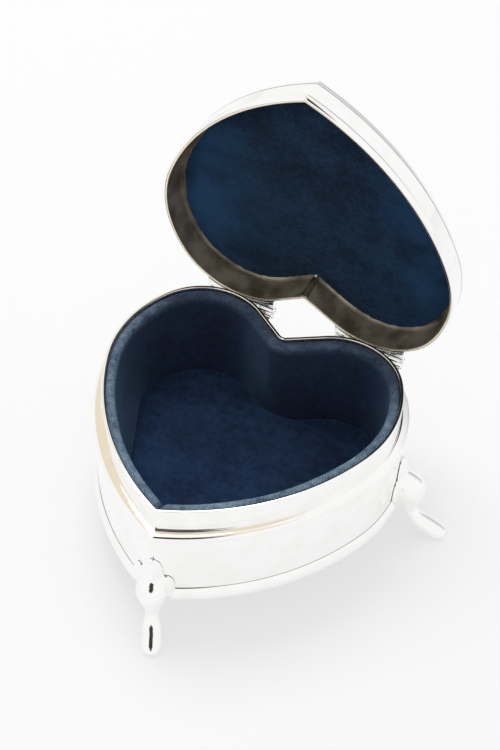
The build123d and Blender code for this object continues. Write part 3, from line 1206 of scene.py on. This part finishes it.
def lining_card():
    """Card behind the velvet of the lining."""
    card_top = velvet_top - velvet_roll - 0.1 * mm
    heights = np.linspace(lining_floor, card_top, 14)
    section = [(card_inner, z) for z in heights] + [(card_outer, z) for z in heights[::-1]]
    loops = [lining_loop(*spot) for spot in section]
    count = len(loops[0])
    points = [(*loops[k][station], z) for station in range(count) for k, (_, z) in enumerate(section)]
    return face_outwards(plain_mesh("card", points, ring_faces(count, len(section))))


finished("lining_board", lining_card(), card, "box")


def velvet_lining():
    """Velvet round the inside, rolled over the card's top edge, with lumps, and with its ribs and the painted
    sheen of its rolled edge as attributes.
    """
    card_top = velvet_top - velvet_roll
    wall = [(velvet_inner, z) for z in np.linspace(lining_floor, card_top - velvet_roll, 18)[:-1]]
    rolled = arc_through(
        (velvet_inner, card_top - velvet_roll),
        ((card_outer + velvet_inner) / 2, velvet_top),
        (card_outer, card_top),
        14,
    )
    back = [(velvet_outer, z) for z in np.linspace(card_top, lining_floor, 14)]
    section = wall + rolled + back
    size = len(section)
    loops = [lining_loop(*spot) for spot in section]
    count = len(loops[0])
    rim = loops[len(wall) + 7]
    half = count // 2
    steps = np.linalg.norm(np.diff(rim[: half + 1], axis=0), axis=1)
    length = np.concatenate(((0,), np.cumsum(steps)))
    length = np.concatenate((length, length[-2:0:-1]))
    points, rolls, alongs = [], [], []
    for station in range(count):
        for k, (offset, height) in enumerate(section):
            x, y = loops[k][station]
            share = min(max((height - card_top + velvet_roll * 1.6) / velvet_roll, 0), 1)
            folded = max(1 - length[station] / fold_reach, 0) ** 2
            points.append((x, y, height - share * folded * fold_drop))
            # The roll mark carries the ribs and the painted sheen of the rolled edge. Both fade at the fold
            # and towards the back.
            share *= (1 - folded) * (1 - roll_fade * rise(y, roll_fade_start, roll_fade_end))
            rolls.append(share if k < size - len(back) else 0)
            alongs.append((length[station] + rib_slant * (offset - card_outer)) / rib_pitch)
    mesh = plain_mesh("lining", puffed(points), ring_faces(count, size))
    mark(mesh, "roll", rolls)
    mark(mesh, "along", alongs)
    with reworked(mesh) as shape:
        bmesh.ops.recalc_face_normals(shape, faces=shape.faces)
        for vert in shape.verts:
            if vert.index % size < len(wall) + len(rolled) - 1 and vert.co.z > lining_floor + 1.0 * mm:
                vert.co += vert.normal * lump(vert.co * 160) * lining_lumps
    return mesh


finished("lining_velvet", velvet_lining(), lining_velvet, "box")


# Cast feet


def drawn_through(rows, steps):
    """Smooth rows through the given ones, with this many steps between each two."""
    ends = np.concatenate((2 * rows[:1] - rows[1:2], rows, 2 * rows[-1:] - rows[-2:-1]))
    smooth = []
    for a, b, c, d in zip(ends, ends[1:], ends[2:], ends[3:]):
        for t in np.linspace(0, 1, steps, endpoint=False):
            bend = (2 * a - 5 * b + 4 * c - d) * t**2
            twist = (3 * b - a - 3 * c + d) * t**3
            smooth.append(0.5 * (2 * b + (c - a) * t + bend + twist))
    smooth.append(rows[-1])
    return np.array(smooth)


def egg(centre, across, along, through):
    """Closed egg about a centre, with its three half-axes as vectors."""
    rings, sides = 18, 28
    points = [centre + along]
    for ring in range(1, rings):
        lean = pi * ring / rings
        for turn in np.linspace(0, 2 * pi, sides, endpoint=False):
            points.append(centre + along * cos(lean) + (across * cos(turn) + through * sin(turn)) * sin(lean))
    points.append(centre - along)
    last = len(points) - 1
    faces = tube_faces(rings - 1, sides, 1)
    for k in range(sides):
        j = (k + 1) % sides
        faces.append((0, 1 + j, 1 + k))
        faces.append((last, last - sides + k, last - sides + j))
    return points, faces


def tapering(stations, seat, out, side, sides):
    """Closed tube through stations, elliptical, or ridged in front and behind when it has four sides."""
    up = np.array((0, 0, 1.0))
    rows = drawn_through(stations, 10)
    centres = np.array([seat + out * reach + up * height for reach, height, _, _ in rows])
    runs = np.gradient(centres, axis=0)
    points = []
    for centre, run, (_, _, width, depth) in zip(centres, runs, rows):
        thick = np.cross(run / np.linalg.norm(run), side)
        for turn in np.linspace(0, 2 * pi, sides, endpoint=False):
            points.append(centre + side * cos(turn) * width / 2 + thick * sin(turn) * depth / 2)
    faces = tube_faces(len(rows), sides)
    faces.append(range(sides))
    faces.append(range(len(points) - sides, len(points)))
    return points, faces


wall_feet, wall_ways = heart_outline(wall_notch_round, wall_tip_start)


def lifted_off(points, least):
    """Points moved out of the wall, each to at least its own offset."""
    loop = wall_feet + wall_ways * wall_outer
    nearest = nearest_on(loop, points[:, :2])
    offset = wall_outer + np.sum((points[:, :2] - loop[nearest]) * wall_ways[nearest], axis=1)
    moved = points.copy()
    moved[:, :2] += wall_ways[nearest] * np.maximum(least - offset, 0)[:, None]
    return moved


def cast_foot(seat, out, stretch):
    """Smooth casting of leg, knee and leaf. Stretch lengthens the leg's reach past the knee."""
    out = np.array((*out, 0.0))
    seat = np.array((*seat, 0.0))
    side = np.array((-out[1], out[0], 0.0))
    up = np.array((0, 0, 1.0))
    face = wall_feet + wall_ways * (wall_outer + seam)

    def on_wall(spread):
        """Outermost place of the wall at this distance to the side of the foot, and its normal."""
        aside = (face - seat[:2]) @ side[:2] - spread
        ahead = (face - seat[:2]) @ out[:2]
        best = np.argmax(np.where(np.abs(aside) < 0.4 * mm, ahead, -1))
        return np.array((*face[best], 0.0)), np.array((*wall_ways[best], 0.0))

    knee_reach, knee_height = leg_stations[1, :2]
    stations = leg_stations.copy()
    stations[2:, 0] = knee_reach + (stations[2:, 0] - knee_reach) * stretch
    leaf_foot = seat + out * ((on_wall(0)[0] - seat) @ out)
    knee = seat + out * knee_reach + up * knee_height
    shells = [
        tapering(stations, seat, out, side, 32),
        tapering(leaf_stations, leaf_foot, out, side, 4),
        egg(knee, side * knee_radius, up * knee_radius, out * knee_radius),
    ]
    for spread in (-leaf_ear_spread, leaf_ear_spread):
        place, normal = on_wall(spread)
        beside = np.array((-normal[1], normal[0], 0.0))
        shells.append(
            egg(
                place + up * leaf_ear_height,
                beside * leaf_ear_half_width,
                up * leaf_ear_half_height,
                normal * leaf_thickness,
            )
        )
    points, faces = [], []
    for shell_points, shell_faces in shells:
        faces += [[v + len(points) for v in face_points] for face_points in shell_faces]
        points += list(shell_points)
    mesh = even_skin(points, faces, foot_voxel, 10)
    cast = places(mesh) / work_scale
    above = cast[:, 2] - base_height
    swell = 1 - rise(above, base_moulding_fullest, base_moulding_height) ** 2
    least = np.where(above > -seam, moulding_inner + base_moulding_bulge * swell + seam, -1.0)
    cast = lifted_off(cast, least)
    cast[:, 2] = np.maximum(cast[:, 2], 0)
    put_at(mesh, cast)
    return mesh


right_out = compass(side_foot_angle)
right_seat = shoulder_point + right_out * (shoulder_radius + wall_outer - side_foot_setback)
across = np.array((-1, 1))
front_seat = np.array((front_foot_aside, tip_y(wall_outer) + front_foot_setback))
for node, seat, out, stretch in (
    ("right_foot", right_seat, right_out, side_leg_stretch),
    ("left_foot", right_seat * across, right_out * across, side_leg_stretch),
    ("front_foot", front_seat, compass(front_foot_turn - pi / 2), front_leg_stretch),
):
    finished(node, face_outwards(cast_foot(seat, out, stretch)), silver, "box")

for name, node in frame["nodes"].items():
    node.data.materials.clear()
    node.data.materials.append(card if name.endswith("board") else silver)


# Camera at the photograph's viewing angle
image_height = 750
camera_focus = 1704.5
camera_sensor = 36.0
camera_turn = radians(25.56)
camera_lift = radians(46.36)
camera_roll = radians(2.94)
camera_distance = 393.65 * mm
camera_target = Vector((0.9, -10.95, 44.64)) * mm


def direction(turn, lift):
    """Unit vector that points this far round from -Y and this far up."""
    return Vector((sin(turn) * cos(lift), -cos(turn) * cos(lift), sin(lift)))


def aim_camera():
    """Camera that looks at its target from this distance, rolled a little."""
    back = direction(camera_turn, camera_lift)
    right = (-back).cross(Vector((0, 0, 1))).normalized()
    up = back.cross(right)
    turned_right = cos(camera_roll) * right + sin(camera_roll) * up
    turned_up = cos(camera_roll) * up - sin(camera_roll) * right
    lens = bpy.data.cameras.new("camera")
    lens.sensor_width = camera_sensor
    lens.lens = camera_focus / image_height * camera_sensor
    lens.clip_start = 0.01
    camera = bpy.data.objects.new("camera", lens)
    bpy.context.scene.collection.objects.link(camera)
    camera.matrix_world = Matrix.Translation(camera_target + back * camera_distance) @ Matrix(
        (turned_right, turned_up, back)
    ).transposed().to_4x4()
    bpy.context.scene.camera = camera


aim_camera()


def studio_world():
    """White tent round the box. The silver also shows a dark gap, two warm places and a dim back in it."""
    world = bpy.data.worlds.new("studio")
    bpy.context.scene.world = world
    world.use_nodes = True
    tree = world.node_tree
    way = step(tree, "ShaderNodeTexCoord").outputs["Generated"]
    rays = step(tree, "ShaderNodeLightPath").outputs

    def patch(turn, lift, core, fade):
        """1 within core of a direction, falling to 0 at fade, for mirrored rays. All in degrees."""
        centre = direction(radians(turn), radians(lift))
        towards = step(tree, "ShaderNodeVectorMath", {"operation": "DOT_PRODUCT"}, _0=way, _1=centre)
        share = step(
            tree,
            "ShaderNodeMapRange",
            {"interpolation_type": "SMOOTHSTEP"},
            Value=towards.outputs["Value"],
            From_Min=cos(radians(fade)),
            From_Max=cos(radians(core)),
        ).outputs["Result"]
        return calc(tree, "MULTIPLY", share, rays["Is Glossy Ray"])

    behind = patch(178, 4, 15, 48)
    warm = calc(tree, "MAXIMUM", patch(240, 48, 8, 24), patch(70, 80, 12, 20))
    gap = calc(tree, "MAXIMUM", patch(20, 47, 13, 18), patch(30, 62, 9, 15))
    seen = mixed(tree, behind, (1, 1, 1, 1), (0.60, 0.62, 0.65, 1))
    seen = mixed(tree, warm, seen, (0.87, 0.77, 0.61, 1))
    seen = mixed(tree, gap, seen, (0.05, 0.045, 0.04, 1))
    tree.links.new(seen, tree.nodes["Background"].inputs["Color"])
    strength = step(tree, "ShaderNodeMapRange", Value=rays["Is Diffuse Ray"], To_Min=0.98, To_Max=0.76)
    tree.links.new(strength.outputs["Result"], tree.nodes["Background"].inputs["Strength"])


def studio_floor():
    """Pale paper that the box stands on, and one large lamp behind it on the left."""
    reach = 3.0
    corners = [(-reach, -reach, 0), (reach, -reach, 0), (reach, reach, 0), (-reach, reach, 0)]
    mesh = plain_mesh("floor", corners, [(0, 1, 2, 3)])
    paper, tree, shader = new_material("pale_paper")
    feed(tree, shader, Base_Color=(0.93, 0.93, 0.935, 1), Roughness=0.8, Specular_IOR_Level=0.1)
    rays = step(tree, "ShaderNodeLightPath").outputs
    seen = calc(tree, "MULTIPLY", rays["Is Camera Ray"], 0.45)
    bounced = calc(tree, "MAXIMUM", rays["Is Glossy Ray"], rays["Is Transmission Ray"])
    mirrored = calc(tree, "MULTIPLY", bounced, 0.72)
    white = step(tree, "ShaderNodeEmission", Color=(0.98, 0.98, 0.985, 1), Strength=1.0)
    lit = step(
        tree,
        "ShaderNodeMixShader",
        _0=calc(tree, "MAXIMUM", seen, mirrored),
        _1=shader.outputs[0],
        _2=white.outputs[0],
    )
    tree.links.new(lit.outputs[0], tree.nodes["Material Output"].inputs["Surface"])
    mesh.materials.append(paper)
    linked("floor", mesh)
    lamp = bpy.data.lights.new("window", "AREA")
    lamp.shape = "DISK"
    lamp.size = 0.5
    lamp.energy = 2.4
    key = linked("window", lamp)
    key.location = (-0.22, 0.20, 0.85)
    key.rotation_euler = (-key.location).to_track_quat("-Z", "Y").to_euler()


studio_world()
studio_floor()

bpy.context.scene.view_settings.view_transform = "Standard"
